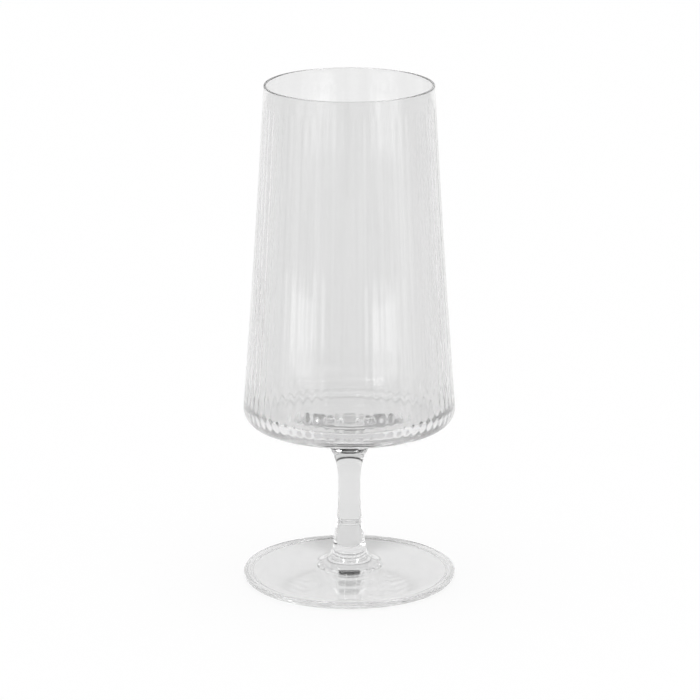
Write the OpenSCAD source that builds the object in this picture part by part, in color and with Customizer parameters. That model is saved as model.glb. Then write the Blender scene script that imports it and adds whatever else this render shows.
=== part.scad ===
// Tall ribbed cocktail glass on a short stem: a blown bowl with optic ribs on the inside of its wall,
// a drawn stem and a pressed foot, fused at two flat joints.
// Millimetres, +Z up, origin on the table under the middle of the foot.

/* [Bowl] */
// Height of the glass from the table to the lip
glass_h = 190; // [160:1:220]
// Outside diameter at the lip
rim_d = 63; // [56:0.5:72]
// Outside diameter at the shoulder, the widest place of the bowl
shoulder_d = 79.5; // [76:0.5:90]
// Height of the shoulder above the table
shoulder_z = 67.2; // [65:0.1:75]
// Radius of the round shoulder
shoulder_r = 6.2; // [4:0.1:9]
// How far the middle of the wall lies inside a straight line from shoulder to lip
wall_bow = 0.35; // [0:0.05:0.6]
// Wall thickness at the lip
rim_wall = 1; // [0.8:0.1:1.6]
// Wall thickness at the shoulder
shoulder_wall = 2.2; // [1.8:0.1:3]
// Height of the flat inside floor above the table
floor_z = 64.2; // [62.5:0.1:68]
// Radius of the round heel between the inside wall and the floor
heel_r = 6.5; // [5:0.5:10]
// Rise of the nearly flat underside from the trumpet out to the shoulder, in degrees
underside_slope = 1.5; // [0.5:0.5:5]
// Diameter at which the trumpet above the stem runs out into the underside
trumpet_d = 48.4; // [40:0.2:56]

/* [Ribs] */
// Number of optic ribs round the inside of the bowl
rib_count = 64; // [40:1:72]
// Depth of the hollow between two ribs
rib_depth = 0.12; // [0.08:0.02:0.3]
// Plain band below the lip, before the ribs begin
rib_start = 2; // [1.5:0.5:10]
// Length over which the ribs come up to their full depth
rib_run_out = 5; // [3:1:20]

/* [Stem] */
// Height of the joint between stem and bowl
bowl_joint_z = 50.5; // [48:0.1:55]
// Diameter of the stem at the joint with the bowl
stem_top_d = 14.2; // [11:0.1:18]
// Height of the narrowest place of the stem
waist_z = 34.5; // [30:0.5:40]
// Diameter at the narrowest place of the stem
waist_d = 8.3; // [7:0.1:9.4]
// Height of the joint between stem and foot
foot_joint_z = 21.5; // [19:0.1:25]
// Diameter of the stem at the joint with the foot
stem_bottom_d = 9.8; // [9.5:0.1:12]
// Rounding of the fused edges at the joint between stem and foot
crease_r = 0.2; // [0.1:0.05:0.5]

/* [Foot] */
// Diameter of the foot
foot_d = 80; // [70:0.5:95]
// Radius of the lower round of the foot's edge
edge_low_r = 2.3; // [1.5:0.1:2.8]
// Radius of the upper round of the foot's edge
edge_high_r = 0.9; // [0.5:0.1:1.5]
// Height of the top of the foot where the flare to the stub begins
foot_crown_z = 5.2; // [4.5:0.1:8]
// Radius of the flare between the top of the foot and the stub
flare_r = 8; // [5:0.5:11]
// Diameter of the stub where the flare ends
stub_d = 12.4; // [11:0.1:15]
// Width of the flat ring that the foot stands on
ring_w = 1; // [0.6:0.1:4]
// Radius of the cove that steps up from the standing ring to the hollow
cove_r = 0.7; // [0.3:0.1:1]
// Depth of the hollow under the foot at its middle
hollow_h = 1.4; // [1.2:0.1:2.5]

/* [Hidden] */
glass_colour = [0.86, 0.89, 0.9, 0.55];
$fn = 180;
// Straight pieces that each round stretch of an outline is drawn with
arc_steps = 14;
// Straight pieces of the small rounds at the fused joint of stem and foot
crease_steps = 4;
// Straight pieces of the long wall of the bowl
wall_steps = 8;
// Straight pieces of the short plain stretch between the ribs and the floor
heel_end_steps = 3;
// Points across one rib
rib_points = 5;
// Rings of points that carry the ribs round the heel
heel_rings = 7;
// Angle of the heel, below level, at which the ribs end
heel_end = 80;
// Share of their depth that the ribs keep where they end at the floor
rib_floor_share = 0.4;
// Depth to which the rib cutter takes the crests of the ribs
rib_bite = 0.03;
// Glass left over on the plain inside of the heel for the rib cutter to take off
rib_stock = 0.5;

rim_r = rim_d / 2;
foot_r = foot_d / 2;

// Points of an arc about c, from angle a0 to a1
function arc(c, r, a0, a1, steps = arc_steps) =
    [for (i = [0:steps]) let (a = a0 + (a1 - a0) * i / steps) c + r * [cos(a), sin(a)]];

// Outside of the bowl: the round shoulder, and the angle at which the wall leaves it
shoulder_c = [shoulder_d / 2 - shoulder_r, shoulder_z];
lip_c = [rim_r - rim_wall / 2, glass_h - rim_wall / 2];
wall_lean = atan2(shoulder_d / 2 - rim_r, glass_h - shoulder_z);
bow_lean = atan2(4 * wall_bow, glass_h - shoulder_z);
wall_foot = shoulder_c + shoulder_r * [cos(wall_lean + bow_lean), sin(wall_lean + bow_lean)];
wall_head = [rim_r, lip_c.y];
function wall_point(t) = wall_foot + t * (wall_head - wall_foot) - [4 * wall_bow * t * (1 - t), 0];

// Underside of the bowl: a trumpet arc up from the stem joint that runs smoothly into the sloping underside
joint_edge = [stem_top_d / 2, bowl_joint_z];
underside_out = shoulder_c + shoulder_r * [sin(underside_slope), -cos(underside_slope)];
underside_in = [trumpet_d / 2, underside_out.y - (underside_out.x - trumpet_d / 2) * tan(underside_slope)];
trumpet_chord = underside_in - joint_edge;
trumpet_turn = 2 * (atan2(trumpet_chord.y, trumpet_chord.x) - underside_slope);
trumpet_r = norm(trumpet_chord) / (2 * sin(trumpet_turn / 2));
trumpet_c = underside_in + trumpet_r * [sin(underside_slope), -cos(underside_slope)];

// Inside of the bowl: the straight inner wall, and the heel that rounds it into the floor
inner_head = [rim_r - rim_wall, lip_c.y];
inner_foot = [shoulder_d / 2 - shoulder_wall, shoulder_z];
inner_lean = atan2(inner_foot.x - inner_head.x, inner_head.y - inner_foot.y);
function inner_r(z) = inner_head.x + (inner_head.y - z) * tan(inner_lean);
heel_c = [inner_r(floor_z + heel_r) - heel_r / cos(inner_lean), floor_z + heel_r];
rib_head = glass_h - rib_start;
rib_full = rib_head - rib_run_out;

bowl_outline = concat(
    [[0, bowl_joint_z]],
    arc(trumpet_c, trumpet_r, 90 + underside_slope + trumpet_turn, 90 + underside_slope),
    arc(shoulder_c, shoulder_r, underside_slope - 90, wall_lean + bow_lean),
    [for (i = [1:wall_steps - 1]) wall_point(i / wall_steps)],
    arc(lip_c, rim_wall / 2, 0, 180),
    [[inner_r(rib_head), rib_head]],
    arc(heel_c, heel_r - rib_stock, inner_lean, -heel_end),
    arc(heel_c, heel_r, -heel_end, -90, heel_end_steps),
    [[0, floor_z]]
);

// Rings of the rib cutter from lip to floor: a point of the plain inside, the cut at a crest, the rib depth
wall_out = [cos(inner_lean), sin(inner_lean)];
rib_rings = concat(
    [[[inner_r(rib_head + rib_stock), rib_head + rib_stock], -rib_stock * wall_out, [0, 0]]],
    [[[inner_r(rib_head), rib_head], rib_bite * wall_out, [0, 0]]],
    [[[inner_r(rib_full), rib_full], rib_bite * wall_out, rib_depth * wall_out]],
    [for (i = [0:heel_rings])
        let (t = i / heel_rings, a = inner_lean - (heel_end + inner_lean) * t, out = [cos(a), sin(a)])
        [heel_c + heel_r * out, rib_bite * out, rib_depth * (1 - (1 - rib_floor_share) * t) * out]],
    [[[heel_c.x, floor_z], [0, rib_stock], [0, 0]]]
);
rib_columns = rib_count * rib_points;
// Share of the full hollow depth at a column, nought on a rib and one between two ribs
function rib_wave(i) = (1 - cos(360 * i / rib_points)) / 2;
function ring_point(ring, i) =
    let (p = ring[0] + ring[1] + ring[2] * rib_wave(i), a = 360 * i / rib_columns)
    [p.x * cos(a), p.x * sin(a), p.y];

module rib_cutter() {
    rings = len(rib_rings);
    points = [for (ring = rib_rings) for (i = [0:rib_columns - 1]) ring_point(ring, i)];
    top = [for (i = [0:rib_columns - 1]) rib_columns - 1 - i];
    bottom = [for (i = [0:rib_columns - 1]) (rings - 1) * rib_columns + i];
    sides = [for (k = [0:rings - 2]) for (i = [0:rib_columns - 1])
        let (next = (i + 1) % rib_columns, up = k * rib_columns, down = up + rib_columns)
        each [[up + i, up + next, down + next], [up + i, down + next, down + i]]];
    polyhedron(points, concat([top, bottom], sides));
}

module bowl() {
    color(glass_colour)
    difference() {
        rotate_extrude() polygon(bowl_outline);
        rib_cutter();
    }
}

// Stem: a cubic flare up to the bowl and a square one down to the foot, from the waist
waist_r = waist_d / 2;
function stem_up(t) = [waist_r + (stem_top_d / 2 - waist_r) * pow(t, 3), waist_z + (bowl_joint_z - waist_z) * t];
function stem_down(t) =
    [waist_r + (stem_bottom_d / 2 - waist_r) * pow(t, 2), waist_z - (waist_z - foot_joint_z - crease_r) * t];
stem_crease_c = [stem_bottom_d / 2 - crease_r, foot_joint_z + crease_r];

module stem() {
    outline = concat(
        [[0, foot_joint_z]],
        arc(stem_crease_c, crease_r, -90, 0, crease_steps),
        [for (i = [1:arc_steps]) stem_down(1 - i / arc_steps)],
        [for (i = [1:arc_steps]) stem_up(i / arc_steps)],
        [[0, bowl_joint_z]]
    );
    color(glass_colour)
    rotate_extrude() polygon(outline);
}

// Foot: a sloping disc with a round edge, a flare and a tapered stub up to the joint
edge_low_c = [foot_r - edge_low_r, edge_low_r];
edge_high_c = [foot_r - edge_high_r, edge_low_r];
foot_crease_c = [stem_bottom_d / 2 - crease_r, foot_joint_z - crease_r];
flare_c = [stub_d / 2 + flare_r, foot_crown_z + flare_r];
top_slope = atan2(foot_crown_z - edge_low_r - edge_high_r, edge_high_c.x - flare_c.x);
stub_slope = atan2(stub_d / 2 - stem_bottom_d / 2, foot_crease_c.y - flare_c.y);
cove_c = [edge_low_c.x - ring_w - cove_r, 0];
hollow_rise = hollow_h - cove_r;
hollow_r = (cove_c.x * cove_c.x + hollow_rise * hollow_rise) / (2 * hollow_rise);
hollow_c = [0, hollow_h - hollow_r];

module foot() {
    outline = concat(
        arc(hollow_c, hollow_r, 90, 90 - asin(cove_c.x / hollow_r)),
        arc(cove_c, cove_r, 90, 0),
        arc(edge_low_c, edge_low_r, -90, 0),
        arc(edge_high_c, edge_high_r, 0, 90 - top_slope),
        arc(flare_c, flare_r, 270 - top_slope, 180 + stub_slope),
        arc(foot_crease_c, crease_r, 0, 90, crease_steps),
        [[0, foot_joint_z]]
    );
    color(glass_colour)
    rotate_extrude() polygon(outline);
}

bowl();
stem();
foot();
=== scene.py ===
# %% [markdown]
# # A ribbed cocktail glass, piece by piece
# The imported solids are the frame: they give the true heights and widths, and they stay where they are.
# Every piece made here is a smooth glass skin that lies on one of those solids and takes its place in the
# picture.

# %% Load the frame
import bpy
import numpy as np
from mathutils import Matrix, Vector


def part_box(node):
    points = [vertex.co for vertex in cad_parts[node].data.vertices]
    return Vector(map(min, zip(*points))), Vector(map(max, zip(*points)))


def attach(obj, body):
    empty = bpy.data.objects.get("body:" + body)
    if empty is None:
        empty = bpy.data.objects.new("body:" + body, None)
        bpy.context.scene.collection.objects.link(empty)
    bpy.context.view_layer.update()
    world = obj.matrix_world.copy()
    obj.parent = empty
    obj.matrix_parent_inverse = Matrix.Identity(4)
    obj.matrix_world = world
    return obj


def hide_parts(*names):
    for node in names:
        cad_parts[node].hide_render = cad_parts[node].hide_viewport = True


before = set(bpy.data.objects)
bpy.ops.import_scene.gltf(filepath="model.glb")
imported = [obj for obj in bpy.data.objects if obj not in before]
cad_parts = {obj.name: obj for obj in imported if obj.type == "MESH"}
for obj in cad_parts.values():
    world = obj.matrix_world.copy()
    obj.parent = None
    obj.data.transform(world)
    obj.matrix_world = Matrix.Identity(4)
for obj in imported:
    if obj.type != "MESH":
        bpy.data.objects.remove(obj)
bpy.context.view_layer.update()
MM = 0.001
print("nodes:", sorted(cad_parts))

# %% [markdown]
# ## Camera
# The photograph looks down on the glass by about 16 degrees, through a long lens. A long lens far away
# keeps the two sides of the bowl nearly parallel, so distance, lens and height are set together, and
# nothing else has to be bent to fit.

# %% Camera
LOOK_AT = Vector((0.27, 0.0, 88.94)) * MM
CAMERA_DISTANCE = 1408.7 * MM
CAMERA_ELEVATION = np.radians(15.76)
LENS_MM = 194.05
SENSOR_MM = 36.0
FARTHEST = 50.0

camera_data = bpy.data.cameras.new("photo_camera")
camera_data.lens = LENS_MM
camera_data.sensor_width = SENSOR_MM
camera_data.clip_end = FARTHEST
camera = bpy.data.objects.new("photo_camera", camera_data)
toward_camera = Vector((0.0, -np.cos(CAMERA_ELEVATION), np.sin(CAMERA_ELEVATION)))
camera.location = LOOK_AT + CAMERA_DISTANCE * toward_camera
camera.rotation_euler = toward_camera.to_track_quat("Z", "Y").to_euler()
bpy.context.scene.collection.objects.link(camera)
bpy.context.scene.camera = camera
print("camera at", [round(v, 4) for v in camera.location])

# %% [markdown]
# ## Turning an outline into glass
# All three pieces are turned shapes, so one helper makes them from an outline of arcs and straight lines.
# It could be a Screw modifier on a curve, but the ribs inside the bowl change with height and with the
# turn, and a grid of points worked out by numpy holds both at once.

# %% Outline helpers
def arc(centre, radius, start, stop, count):
    """Points on a circle: centre plus radius times the cosine and sine of an angle that goes evenly from
    start to stop in degrees, ends included."""
    angle = np.radians(np.linspace(start, stop, count))
    return np.array(centre) + radius * np.column_stack([np.cos(angle), np.sin(angle)])


def steps(count):
    """Even steps from 0 to 1 as a column, without the two ends."""
    return np.linspace(0, 1, count + 2)[1:-1, None]


def line(first, last, count):
    """Points of a straight line without its ends: first plus an even share of the way to last."""
    return first + steps(count) * (last - first)


# %% Turned solid
def turned_solid(name, outline, columns, push=None):
    """A closed solid of revolution. The outline's rows are (radius, height) in mm, from the axis round the
    outside and back to the axis. Each point goes to radius times the cosine and sine of its turn, at its
    height. push adds its own (radius, height) to each ring and column. The two masks that come back mark
    the faces round the first and round the last point of the outline."""
    rings = outline[1:-1]
    rows = len(rings)
    turn = 2 * np.pi * np.arange(columns) / columns
    spread = np.repeat(rings[:, None, :], columns, axis=1)
    if push is not None:
        spread = spread + push
    radius, height = spread[..., 0], spread[..., 1]
    grid = np.stack([radius * np.cos(turn), radius * np.sin(turn), height], axis=-1)
    poles = np.array([[0, 0, outline[0, 1]], [0, 0, outline[-1, 1]]])
    points = np.vstack([grid.reshape(-1, 3), poles]) * MM

    here = np.arange(rows * columns).reshape(rows, columns)
    beside = np.roll(here, -1, axis=1)
    quads = np.stack([here[:-1], beside[:-1], beside[1:], here[1:]], axis=-1).reshape(-1, 4)
    first_pole = np.full(columns, rows * columns)
    first_fan = np.stack([first_pole, beside[0], here[0]], axis=-1)
    last_fan = np.stack([here[-1], beside[-1], first_pole + 1], axis=-1)
    corners = np.concatenate([quads.ravel(), first_fan.ravel(), last_fan.ravel()])
    sizes = np.concatenate([np.full(len(quads), 4), np.full(2 * columns, 3)])

    mesh = bpy.data.meshes.new(name)
    mesh.vertices.add(len(points))
    mesh.vertices.foreach_set("co", points.ravel())
    mesh.loops.add(len(corners))
    mesh.loops.foreach_set("vertex_index", corners)
    mesh.polygons.add(len(sizes))
    mesh.polygons.foreach_set("loop_start", np.concatenate([[0], np.cumsum(sizes)[:-1]]))
    mesh.update(calc_edges=True)
    mesh.validate()
    piece = bpy.data.objects.new(name, mesh)
    bpy.context.scene.collection.objects.link(piece)
    print(name, "has", 2 * len(quads) + 2 * columns, "triangles")
    in_fans = np.arange(len(sizes)) >= len(quads)
    in_last_fan = np.arange(len(sizes)) >= len(quads) + columns
    return piece, in_fans & ~in_last_fan, in_last_fan


# %% [markdown]
# ## Sizes from the frame
# The joints, the lip and the foot are read from the boxes of the CAD solids, so the skins always meet
# them. Only what a box can't tell, such as a wall thickness or a round, is written down, in mm, where it
# is needed.

# %% Sizes
bowl_low, bowl_high = np.array(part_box("bowl")) / MM
_, stem_high = np.array(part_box("stem")) / MM
_, foot_high = np.array(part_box("foot")) / MM
LIP_Z = bowl_high[2]
BOWL_JOINT_Z = bowl_low[2]
FOOT_JOINT_Z = foot_high[2]
SHOULDER_OUT = bowl_high[0]
STEM_TOP = stem_high[0]
FOOT_OUT = foot_high[0]
print("lip at", LIP_Z, "joints at", BOWL_JOINT_Z, FOOT_JOINT_Z)

# %% [markdown]
# ## The bowl
# The bowl is blown into a ribbed mould, then blown larger in a smooth one: the ribs end up inside the
# wall and the outside stays smooth. The outline runs from the joint along the dished underside, round the
# shoulder, up the wall, over the fire-polished lip and down the inside to the floor. It could be drawn as
# a Bezier curve, but arcs and straight lines keep each radius a number that can be measured.

# %% Underside and shoulder of the bowl
LIP_OUT = 31.5
SHOULDER_Z = 67.2
SHOULDER_ROUND = 6.2
WALL_BOW = 0.35
DISH_SLOPE = 1.5
TRUMPET_R = 24.2

wall_rise = LIP_Z - SHOULDER_Z
straight_lean = np.arctan2(SHOULDER_OUT - LIP_OUT, wall_rise)
bow_lean = np.arctan2(4 * WALL_BOW, wall_rise)
shoulder_centre = np.array([SHOULDER_OUT - SHOULDER_ROUND, SHOULDER_Z])
shoulder_stop = np.degrees(straight_lean + bow_lean)
shoulder = arc(shoulder_centre, SHOULDER_ROUND, DISH_SLOPE - 90, shoulder_stop, count=20)

dish_rise = np.tan(np.radians(DISH_SLOPE))
trumpet_end = shoulder[0] - (shoulder[0][0] - TRUMPET_R) * np.array([1, dish_rise])
joint_edge = np.array([STEM_TOP, BOWL_JOINT_Z])
chord = trumpet_end - joint_edge
trumpet_turn = 2 * (np.degrees(np.arctan2(chord[1], chord[0])) - DISH_SLOPE)
trumpet_round = np.hypot(*chord) / (2 * np.sin(np.radians(trumpet_turn / 2)))
dish_out = np.array([np.sin(np.radians(DISH_SLOPE)), -np.cos(np.radians(DISH_SLOPE))])
trumpet_centre = trumpet_end + trumpet_round * dish_out
trumpet_stop = 90 + DISH_SLOPE
trumpet = arc(trumpet_centre, trumpet_round, trumpet_stop + trumpet_turn, trumpet_stop, count=20)
dish = line(trumpet_end, shoulder[0], count=4)
underside = np.vstack([trumpet, dish, shoulder[:1]])
print("the trumpet under the bowl turns by", round(trumpet_turn, 1), "degrees")

# %% Wall and lip of the bowl
LIP_WALL = 1.0
WALL_ROWS = 16

lip_centre = np.array([LIP_OUT - LIP_WALL / 2, LIP_Z - LIP_WALL / 2])
wall_top = np.array([LIP_OUT, lip_centre[1]])
climb = steps(WALL_ROWS)
bow = 4 * WALL_BOW * climb * (1 - climb)
wall = line(shoulder[-1], wall_top, WALL_ROWS) - bow * [1, 0]
lip = arc(lip_centre, LIP_WALL / 2, 0, 180, count=13)
print("the wall leans by", round(np.degrees(straight_lean), 2), "degrees")

# %% Inside of the bowl
SHOULDER_WALL = 2.2
FLOOR_Z = 64.2
HEEL_ROUND = 6.5
NEAR_LIP = 0.08
FLOOR_RINGS = (0.75, 0.5, 0.25)

inner_top = np.array([LIP_OUT - LIP_WALL, lip_centre[1]])
inner_foot = np.array([SHOULDER_OUT - SHOULDER_WALL, SHOULDER_Z])
inner_lean = np.arctan2(inner_foot[0] - inner_top[0], inner_top[1] - inner_foot[1])
heel_z = FLOOR_Z + HEEL_ROUND
wall_at_heel = inner_top[0] + (inner_top[1] - heel_z) * np.tan(inner_lean)
heel_r = wall_at_heel - HEEL_ROUND / np.cos(inner_lean)
heel = arc((heel_r, heel_z), HEEL_ROUND, np.degrees(inner_lean), -90, count=24)
close_rows = np.linspace(0, NEAR_LIP, num=8)[1:]
wide_rows = np.linspace(NEAR_LIP, 1, num=14)[1:-1]
down = np.concatenate([close_rows, wide_rows])[:, None]
inside_wall = inner_top + down * (heel[0] - inner_top)
floor_r = heel_r * np.array(FLOOR_RINGS)
floor = np.column_stack([floor_r, np.full_like(floor_r, FLOOR_Z)])

joint_middle = [[0, BOWL_JOINT_Z]]
floor_middle = [[0, FLOOR_Z]]
outside = np.vstack([underside, shoulder[1:], wall, lip])
bowl_outline = np.vstack([joint_middle, outside, inside_wall, heel, floor, floor_middle])
print("bowl outline has", len(bowl_outline), "points")

# %% [markdown]
# ### Ribs
# Each rib is one wave round the turn. Blown glass is never quite even, so the depth of the waves changes
# a little from rib to rib. The depth fades in under the lip and fades out on the heel of the bowl. A bump
# in the material would be quicker, but it leaves the wall of one thickness, so the ribs are in the mesh.

# %% Bowl ribs
RIBS = 64
RIB_POINTS = 12
RIB_DEPTH = 0.12
RIB_START = 2.0
RIB_RUN = 5.0
HEEL_END = 84.0
HEEL_RUN = 30.0
# share of the depth, waves round the turn, shift of the wave
UNEVEN = ((0.18, 3, 0.7), (0.14, 7, 2.1), (0.12, 11, 4.0))

bowl_columns = RIBS * RIB_POINTS
rib_turn = 2 * np.pi * np.arange(bowl_columns) / bowl_columns
rib_rows = bowl_outline[1:-1]
inside = np.arange(len(rib_rows)) >= len(outside)
on_heel = inside & (rib_rows[:, 1] < heel_z + HEEL_ROUND * np.sin(inner_lean))
heel_angle = np.degrees(np.arctan2(rib_rows[:, 1] - heel_z, rib_rows[:, 0] - heel_r))
push_angle = np.where(on_heel, np.radians(np.clip(heel_angle, -90, 0)), inner_lean)

under_lip = np.clip((LIP_Z - RIB_START - rib_rows[:, 1]) / RIB_RUN, 0, 1)
before_end = np.clip((HEEL_END + heel_angle) / HEEL_RUN, 0, 1)
part = np.where(on_heel, under_lip * before_end, under_lip) * inside
rib_depth = RIB_DEPTH * part * part * (3 - 2 * part)
rib_depth[rib_rows[:, 0] < heel_r] = 0
uneven = sum((share * np.sin(waves * rib_turn + shift) for share, waves, shift in UNEVEN), start=1)
rib_wave = uneven * (1 - np.cos(RIBS * rib_turn)) / 2
push_way = np.stack([np.cos(push_angle), np.sin(push_angle)], axis=-1)
ribs = rib_depth[:, None, None] * rib_wave[None, :, None] * push_way[:, None, :]

bowl, bowl_joint, _ = turned_solid("bowl_glass", bowl_outline, bowl_columns, ribs)
print("the deepest rib is", round(np.hypot(ribs[..., 0], ribs[..., 1]).max(), 3), "mm deep")

# %% [markdown]
# ## The stem
# The stem is pulled from a small gather while the glass is soft, so it is thinnest where it was pulled
# longest. It could be a cylinder that is pinched and smoothed. Two formulas do it in one go: a cubic
# curve flares up to the bowl and a square one down to the foot, and both are upright at the waist, so no
# kink is left there. A small round makes the crease of the joint ring.

# %% Stem
WAIST_R = 4.15
WAIST_Z = 34.5
STEM_FOOT_R = 4.9
CREASE = 0.2
STEM_COLUMNS = 144

rise = np.linspace(0, 1, num=40)[1:]
flare_r = WAIST_R + (STEM_TOP - WAIST_R) * rise**3
stem_up = np.column_stack([flare_r, WAIST_Z + (BOWL_JOINT_Z - WAIST_Z) * rise])
fall = np.linspace(1, 0, num=24)[1:]
ankle_r = WAIST_R + (STEM_FOOT_R - WAIST_R) * fall**2
ankle_height = WAIST_Z - FOOT_JOINT_Z - CREASE
stem_down = np.column_stack([ankle_r, WAIST_Z - ankle_height * fall])
stem_crease = arc((STEM_FOOT_R - CREASE, FOOT_JOINT_Z + CREASE), CREASE, -90, 0, count=6)
stem_outline = np.vstack([[[0, FOOT_JOINT_Z]], stem_crease, stem_down, stem_up, [[0, BOWL_JOINT_Z]]])
stem, stem_low_joint, stem_high_joint = turned_solid("stem_glass", stem_outline, STEM_COLUMNS)

# %% [markdown]
# ## The foot
# The foot is a gather pressed flat into a disc: slightly hollow underneath, so that it stands on a ring
# near the edge, with a rounded rim and a flare that runs up into the stub of the stem. A bevelled disc
# would come close, but clear glass shows each facet of the hollow and the flare, so both are arcs of many
# points.

# %% Underside of the foot
EDGE_LOW = 2.3
RING_W = 1.0
STEP = 0.7
HOLLOW = 1.4

ring_in = FOOT_OUT - EDGE_LOW - RING_W - STEP
crown = HOLLOW - STEP
hollow_round = (ring_in**2 + crown**2) / (2 * crown)
hollow_stop = 90 - np.degrees(np.arcsin(ring_in / hollow_round))
hollow = arc((0, HOLLOW - hollow_round), hollow_round, 90, hollow_stop, count=16)
step = arc((ring_in, 0), STEP, 90, 0, count=8)[1:]
print("the hollow has a radius of", round(hollow_round), "mm")

# %% Edge, top and stub of the foot
EDGE_HIGH = 0.9
CROWN_Z = 5.2
FLARE = 8.0
STUB_R = 6.2
FOOT_COLUMNS = 256

edge_z = EDGE_LOW + EDGE_HIGH
flare_centre = np.array([STUB_R + FLARE, CROWN_Z + FLARE])
top_slope = np.degrees(np.arctan2(CROWN_Z - edge_z, FOOT_OUT - EDGE_HIGH - flare_centre[0]))
stub_slope = np.degrees(np.arctan2(STUB_R - STEM_FOOT_R, FOOT_JOINT_Z - CREASE - flare_centre[1]))
edge_low = arc((FOOT_OUT - EDGE_LOW, EDGE_LOW), EDGE_LOW, -90, 0, count=18)
edge_high = arc((FOOT_OUT - EDGE_HIGH, EDGE_LOW), EDGE_HIGH, 0, 90 - top_slope, count=12)
edge = np.vstack([edge_low, edge_high[1:]])
flare = arc(flare_centre, FLARE, 270 - top_slope, 180 + stub_slope, count=28)
foot_crease = arc((STEM_FOOT_R - CREASE, FOOT_JOINT_Z - CREASE), CREASE, 0, 90, count=6)
slope = line(edge[-1], flare[0], count=10)
stub = line(flare[-1], foot_crease[0], count=6)
foot_outline = np.vstack([hollow, step, edge, slope, flare, stub, foot_crease, [[0, FOOT_JOINT_Z]]])
foot, _, foot_joint = turned_solid("foot_glass", foot_outline, FOOT_COLUMNS)

# %% [markdown]
# ## Helpers for nodes
# A material and a room are graphs of small nodes. They could be set up by hand in the Shader editor, but
# three helpers let a formula be written as a formula, and each adds the node that it needs.

# %% Node helpers
def node_tools(tree):
    """Three helpers that add nodes to one tree. sums works out one operation on its values. fade is a smooth
    step, 0 at start and 1 at stop. blend is first times (1 - mask) plus second times mask."""

    def put(value, socket):
        """A number is set on the socket, and the output of another node is linked to it."""
        if isinstance(value, (int, float)):
            socket.default_value = value
        else:
            tree.links.new(value, socket)

    def sums(operation, *values):
        node = tree.nodes.new("ShaderNodeMath")
        node.operation = operation
        for value, socket in zip(values, node.inputs):
            put(value, socket)
        return node.outputs["Value"]

    def fade(value, start, stop):
        node = tree.nodes.new("ShaderNodeMapRange")
        node.interpolation_type = "SMOOTHSTEP"
        put(value, node.inputs["Value"])
        node.inputs["From Min"].default_value = min(start, stop)
        node.inputs["From Max"].default_value = max(start, stop)
        node.inputs["To Min"].default_value = float(start > stop)
        node.inputs["To Max"].default_value = float(start < stop)
        return node.outputs["Result"]

    def blend(mask, first, second):
        node = tree.nodes.new("ShaderNodeMix")
        for value, socket in ((mask, "Factor"), (first, "A"), (second, "B")):
            put(value, node.inputs[socket])
        return node.outputs["Result"]

    return sums, fade, blend


# %% [markdown]
# ## Painted streaks and waves in the glass
# Clear glass is nearly all shader: light bends by its index and mirrors a few percent at each surface. A
# single even colour would look like plastic film, though. The ribs leave faint upright streaks of light and
# shade in the wall, and worked glass has a surface that is never quite flat, so a small node group gives
# both: the streaks as painted shade in the colour, and the waves as a height for a bump.

# %% Painted streaks and waves in the glass
# size of the noise that paints upright streaks of shade into the glass colour
STREAK_SCALE = (220.0, 220.0, 9.0)
WAVE_SCALE = 55.0
WAVE_DETAIL = 1.0


def painted_streaks_and_waves():
    """Colour times 1 - shade * noise, with the noise drawn out upwards into upright streaks of painted
    shade, and a second, even noise as the height."""
    group = bpy.data.node_groups.new("painted_streaks_and_waves", "ShaderNodeTree")
    group.interface.new_socket("Colour", in_out="INPUT", socket_type="NodeSocketColor")
    group.interface.new_socket("Painted streak shade", in_out="INPUT", socket_type="NodeSocketFloat")
    group.interface.new_socket("Colour", in_out="OUTPUT", socket_type="NodeSocketColor")
    group.interface.new_socket("Height", in_out="OUTPUT", socket_type="NodeSocketFloat")
    nodes, links = group.nodes, group.links
    sums, _, _ = node_tools(group)
    given = nodes.new("NodeGroupInput")
    result = nodes.new("NodeGroupOutput")
    where = nodes.new("ShaderNodeTexCoord")

    stretch = nodes.new("ShaderNodeMapping")
    stretch.inputs["Scale"].default_value = STREAK_SCALE
    links.new(where.outputs["Object"], stretch.inputs["Vector"])
    streak_noise = nodes.new("ShaderNodeTexNoise")
    streak_noise.inputs["Scale"].default_value = 1.0
    links.new(stretch.outputs["Vector"], streak_noise.inputs["Vector"])
    # upright streaks of painted shade: the colour is darker where the drawn-out noise is high
    shade = sums("MULTIPLY", streak_noise.outputs["Fac"], given.outputs["Painted streak shade"])
    tint = nodes.new("ShaderNodeVectorMath")
    tint.operation = "SCALE"
    links.new(given.outputs["Colour"], tint.inputs[0])
    links.new(sums("SUBTRACT", 1.0, shade), tint.inputs["Scale"])
    links.new(tint.outputs["Vector"], result.inputs["Colour"])

    waves = nodes.new("ShaderNodeTexNoise")
    waves.inputs["Scale"].default_value = WAVE_SCALE
    waves.inputs["Detail"].default_value = WAVE_DETAIL
    links.new(where.outputs["Object"], waves.inputs["Vector"])
    links.new(waves.outputs["Fac"], result.inputs["Height"])
    return group


streaks_and_waves = painted_streaks_and_waves()
print("group", streaks_and_waves.name, "has", len(streaks_and_waves.nodes), "nodes")

# %% [markdown]
# ## Clear glass
# Light takes a longer way through the solid stem than through a thin wall, and comes out a little weaker.
# A volume that absorbs light could work that out, but a colour for each is simpler to set, so the stem
# has a darker one than the bowl and the foot. Both colours are also much greyer than clear glass: that
# grey is painted shade, which stands for a dim backdrop seen through the glass. Real glass also throws
# bright patterns on the floor. They need far more samples than a picture like this has, so the glass is
# almost clear to the rays that make shadows.

# %% Glass material
GLASS_IOR = 1.5
# how dark the painted streaks of shade in the glass colour are
PAINTED_STREAK_SHADE = 0.1
WAVE_HEIGHT = 0.00001
# grey of both colours: the glass's own tint plus painted shade for a dim backdrop seen through it
WALL_TINT_AND_SHADE = (0.895, 0.895, 0.895, 1)
ROD_TINT_AND_SHADE = (0.79, 0.79, 0.79, 1)
SHADOW_COLOUR = (0.98, 0.98, 0.98, 1)


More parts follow.
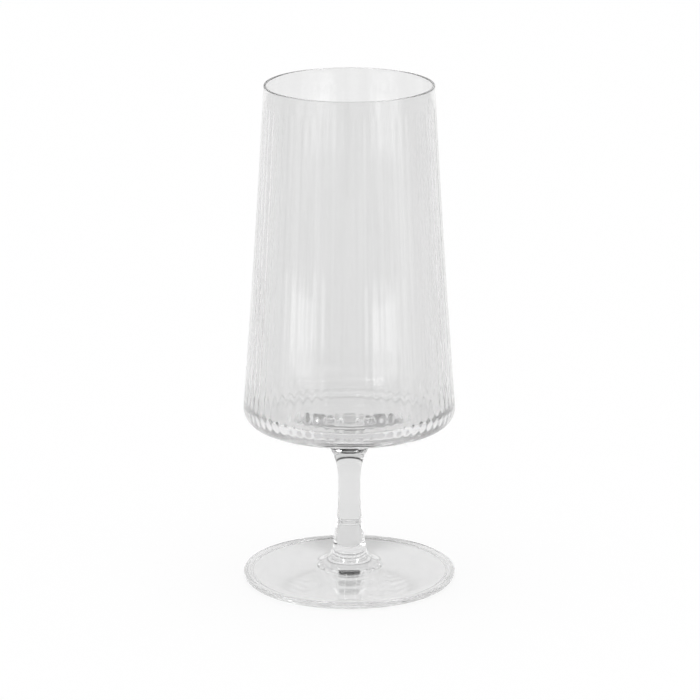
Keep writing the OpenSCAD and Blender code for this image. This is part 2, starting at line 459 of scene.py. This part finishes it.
def clear_glass(name, colour):
    """Smooth glass of one index with upright streaks of painted shade as its colour and the waves as its
    bump, mixed with a plain see-through surface: all glass for every other ray, and all see-through for a
    shadow ray."""
    material = bpy.data.materials.new(name)
    material.use_nodes = True
    nodes, links = material.node_tree.nodes, material.node_tree.links
    glass = nodes["Principled BSDF"]
    glass.inputs["Roughness"].default_value = 0.0
    glass.inputs["IOR"].default_value = GLASS_IOR
    glass.inputs["Transmission Weight"].default_value = 1.0
    streak_node = nodes.new("ShaderNodeGroup")
    streak_node.node_tree = streaks_and_waves
    streak_node.inputs["Colour"].default_value = colour
    streak_node.inputs["Painted streak shade"].default_value = PAINTED_STREAK_SHADE
    links.new(streak_node.outputs["Colour"], glass.inputs["Base Color"])
    bump = nodes.new("ShaderNodeBump")
    bump.inputs["Distance"].default_value = WAVE_HEIGHT
    links.new(streak_node.outputs["Height"], bump.inputs["Height"])
    links.new(bump.outputs["Normal"], glass.inputs["Normal"])

    passing = nodes.new("ShaderNodeBsdfTransparent")
    passing.inputs["Color"].default_value = SHADOW_COLOUR
    path = nodes.new("ShaderNodeLightPath")
    mix = nodes.new("ShaderNodeMixShader")
    mixed = (path.outputs["Is Shadow Ray"], glass.outputs["BSDF"], passing.outputs["BSDF"])
    for output, socket in zip(mixed, mix.inputs):
        links.new(output, socket)
    links.new(mix.outputs["Shader"], nodes["Material Output"].inputs["Surface"])
    return material


wall_glass = clear_glass("clear_glass", WALL_TINT_AND_SHADE)
rod_glass = clear_glass("clear_glass_rod", ROD_TINT_AND_SHADE)
print("glass:", wall_glass.name, WALL_TINT_AND_SHADE[0], "and", rod_glass.name, ROD_TINT_AND_SHADE[0])

# %% [markdown]
# ## Fused joints
# Where two pieces are melted together, no surface is left inside the glass. The pieces stay separate
# here, each with its flat joint face. Without that face a piece would have a hole, so the face stays, and
# its material is fully open.

# %% Joints, and the pieces in their places
def fused_joint():
    """A surface with an Alpha of 0: light goes straight on, as if nothing were there."""
    material = bpy.data.materials.new("fused_joint")
    material.use_nodes = True
    material.node_tree.nodes["Principled BSDF"].inputs["Alpha"].default_value = 0.0
    return material


joint_material = fused_joint()
for piece, node, joints, glass in (
    (bowl, "bowl", bowl_joint, wall_glass),
    (stem, "stem", stem_low_joint | stem_high_joint, rod_glass),
    (foot, "foot", foot_joint, wall_glass),
):
    piece.data.materials.append(glass)
    piece.data.materials.append(joint_material)
    piece.data.polygons.foreach_set("use_smooth", ~joints)
    piece.data.polygons.foreach_set("material_index", joints.astype(np.int32))
    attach(piece, "root")
    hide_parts(node)
    print(piece.name, "stands for", node, "and has", joints.sum(), "joint faces")

# %% [markdown]
# ## Floor
# Clear glass shows the room more than it shows itself, so the room is part of its finish. Painting the
# picture's white behind the glass for the camera alone would be quick, but then the glass shows another
# room than the one around it. Here the floor is one plain pale sheet of matt paper, the same for every
# ray.

# %% Floor
FLOOR_HALF = 4.0
FLOOR_DROP = 0.0002
FLOOR_COLOUR = (0.95, 0.95, 0.95, 1)


def studio_sheet(name, corners, material):
    """A flat four-cornered sheet of the studio, which isn't part of the glass."""
    mesh = bpy.data.meshes.new(name)
    mesh.from_pydata(corners, [], [(0, 1, 2, 3)])
    mesh.materials.append(material)
    sheet = bpy.data.objects.new(name, mesh)
    bpy.context.scene.collection.objects.link(sheet)
    return sheet


def matt_paper():
    """Paper of one pale colour, fully rough and with no mirrored light."""
    material = bpy.data.materials.new("studio_floor")
    material.use_nodes = True
    paper = material.node_tree.nodes["Principled BSDF"]
    paper.inputs["Base Color"].default_value = FLOOR_COLOUR
    paper.inputs["Roughness"].default_value = 1.0
    paper.inputs["Specular IOR Level"].default_value = 0.0
    return material


floor_square = np.array([[-1, -1], [1, -1], [1, 1], [-1, 1]]) * FLOOR_HALF
studio_sheet("studio_floor", [(x, y, -FLOOR_DROP) for x, y in floor_square], matt_paper())
print("the floor is", 2 * FLOOR_HALF, "m wide")

# %% [markdown]
# ## Soft boxes
# Tall soft boxes beside the camera give pale upright streaks on the wall of the glass. They could be area
# lamps, but those have hard edges in the glass and light the floor as well. So each box is a sheet of
# glowing cloth that fades away at its edges and shows in the glass alone. The two low windows show in
# reflections only, because seen through the bowl they would be white bands.

# %% Soft boxes
# turn from the camera side and half the width in degrees, distance, lowest and highest edge in m, glow
SOFT_BOXES = {
    "soft_box_right_front": (36, 4, 0.28, 0.0, 0.26, 1.55),
    "soft_box_right": (62, 9, 0.28, 0.0, 0.26, 1.6),
    "soft_box_left_front": (-37, 4, 0.28, 0.0, 0.26, 1.5),
    "soft_box_left": (-66, 6, 0.28, 0.0, 0.26, 1.5),
}
WINDOWS = {
    "window_left": (-53, 15, 0.27, 0.05, 0.09, 2.6),
    "window_right": (38, 15, 0.27, 0.05, 0.09, 2.6),
}
CLOTH_HALF = 0.5
EVEN_ACROSS = 0.42
EVEN_UP = 0.3
BLACK = (0, 0, 0, 1)
WHITE = (1, 1, 1, 1)


def glowing_cloth(name, glow):
    """Cloth with an even glow whose Alpha is a smooth step across times one upwards, from 0 at the edges to 1
    where the even part starts. A window's Alpha is 0 for rays that no surface has mirrored."""
    material = bpy.data.materials.new(name)
    material.use_nodes = True
    nodes, links = material.node_tree.nodes, material.node_tree.links
    sums, fade, _ = node_tools(material.node_tree)
    cloth = nodes["Principled BSDF"]
    cloth.inputs["Base Color"].default_value = BLACK
    cloth.inputs["Specular IOR Level"].default_value = 0.0
    cloth.inputs["Emission Color"].default_value = WHITE
    cloth.inputs["Emission Strength"].default_value = glow
    where = nodes.new("ShaderNodeTexCoord")
    split = nodes.new("ShaderNodeSeparateXYZ")
    links.new(where.outputs["Generated"], split.inputs["Vector"])
    across = sums("ABSOLUTE", sums("SUBTRACT", split.outputs["X"], CLOTH_HALF))
    up = sums("ABSOLUTE", sums("SUBTRACT", split.outputs["Z"], CLOTH_HALF))
    shown = sums("MULTIPLY", fade(across, CLOTH_HALF, EVEN_ACROSS), fade(up, CLOTH_HALF, EVEN_UP))
    if name in WINDOWS:
        path = nodes.new("ShaderNodeLightPath")
        mirrored = sums("MINIMUM", path.outputs["Glossy Depth"], 1.0)
        shown = sums("MULTIPLY", shown, mirrored)
    links.new(shown, cloth.inputs["Alpha"])
    return material


panels = SOFT_BOXES | WINDOWS
for panel_name, (panel_turn, half_turn, away, low, high, panel_glow) in panels.items():
    sides = np.radians([panel_turn - half_turn, panel_turn + half_turn])
    (x0, x1), (y0, y1) = away * np.sin(sides), -away * np.cos(sides)
    panel_corners = [(x0, y0, low), (x1, y1, low), (x1, y1, high), (x0, y0, high)]
    panel = studio_sheet(panel_name, panel_corners, glowing_cloth(panel_name, panel_glow))
    panel.visible_camera = False
    panel.visible_diffuse = False
    panel.visible_shadow = False
print(len(panels), "panels of glowing cloth stand before the glass")

# %% [markdown]
# ## Overhead lamp
# The floor and its faint shadow need one even light from above. An area lamp would do, but it falls off
# across the floor. A Sun is the same everywhere, and its wide angle keeps the shadow soft.

# %% Overhead lamp
SUN_SPREAD = np.radians(70.0)
SUN_POWER = 3.3

lamp_data = bpy.data.lights.new("overhead", "SUN")
lamp_data.energy = SUN_POWER
lamp_data.angle = SUN_SPREAD
# off, so that rays which leave the glass don't meet the Sun as a bright disc
lamp_data.cycles.use_multiple_importance_sampling = False
lamp = bpy.data.objects.new("overhead", lamp_data)
bpy.context.scene.collection.objects.link(lamp)
print("the lamp has a strength of", SUN_POWER)

# %% [markdown]
# ## Room
# Above the floor stands a low white cove, and over it the room is dark. The dark gives the glass its
# lines, at the top of the stem and in the base of the bowl. In the dark hang a grey band all round, a
# pale sheet at the back and two bright cards in front. Walls and panels could be built, but a world needs
# none: it works out the turn and the height of each ray, and a mask for each card. The camera and the
# glass see the same room, and it doesn't light the floor.

# %% Room
COVE_TONE = 1.0
CEILING_TONE = 0.02
COVE_TOP = np.radians([6.0, 8.5]).tolist()
# turn from the camera side, height, half the width, half the height and soft edge in degrees, tone
CARDS = (
    (0, 20, 180, 8, 3, 0.4),
    (-40, 52, 6, 11, 3, 9.0),
    (60, 52, 6, 11, 3, 9.0),
    (155, 30, 25, 17, 3, 0.82),
    (-155, 30, 25, 17, 3, 0.82),
)

world = bpy.data.worlds.new("studio")
bpy.context.scene.world = world
world.use_nodes = True
room = world.node_tree
sums, fade, blend = node_tools(room)
ray = room.nodes.new("ShaderNodeTexCoord")
ray_way = room.nodes.new("ShaderNodeSeparateXYZ")
room.links.new(ray.outputs["Generated"], ray_way.inputs["Vector"])
ray_turn = sums("ARCTAN2", ray_way.outputs["X"], sums("MULTIPLY", ray_way.outputs["Y"], -1.0))
ray_height = sums("ARCSINE", ray_way.outputs["Z"])


def card_mask(*degrees):
    """A smooth step over the card's soft edge in the turn from the camera side, times one in the height."""
    turn, height, half_width, half_height, soft = np.radians(degrees).tolist()
    off_turn = sums("ABSOLUTE", sums("SUBTRACT", ray_turn, turn))
    off_height = sums("ABSOLUTE", sums("SUBTRACT", ray_height, height))
    in_width = fade(off_turn, half_width + soft, half_width)
    in_height = fade(off_height, half_height + soft, half_height)
    return sums("MULTIPLY", in_width, in_height)


room_tone = blend(fade(ray_height, *COVE_TOP), COVE_TONE, CEILING_TONE)
for *card_place, card_tone in CARDS:
    room_tone = blend(card_mask(*card_place), room_tone, card_tone)

ray_kind = room.nodes.new("ShaderNodeLightPath")
in_glass = sums("MAXIMUM", ray_kind.outputs["Is Glossy Ray"], ray_kind.outputs["Is Transmission Ray"])
seen = sums("MAXIMUM", ray_kind.outputs["Is Camera Ray"], in_glass)
background = room.nodes["Background"]
background.inputs["Color"].default_value = WHITE
room.links.new(sums("MULTIPLY", seen, room_tone), background.inputs["Strength"])
print("the room has", len(CARDS), "cards and", len(room.nodes), "nodes")

# %% [markdown]
# ## Picture settings
# Light in a thin wall of glass bounces many times before it leaves, so the paths are long. If they are
# cut short, as the usual settings do for mirror bounces, the ribs turn black.

# %% Finish
LONGEST_PATH = 96

scene = bpy.context.scene
scene.view_settings.view_transform = "Standard"
scene.cycles.max_bounces = LONGEST_PATH
scene.cycles.glossy_bounces = LONGEST_PATH
scene.cycles.transmission_bounces = LONGEST_PATH
scene.cycles.transparent_max_bounces = LONGEST_PATH
scene.cycles.caustics_reflective = False
scene.cycles.caustics_refractive = False
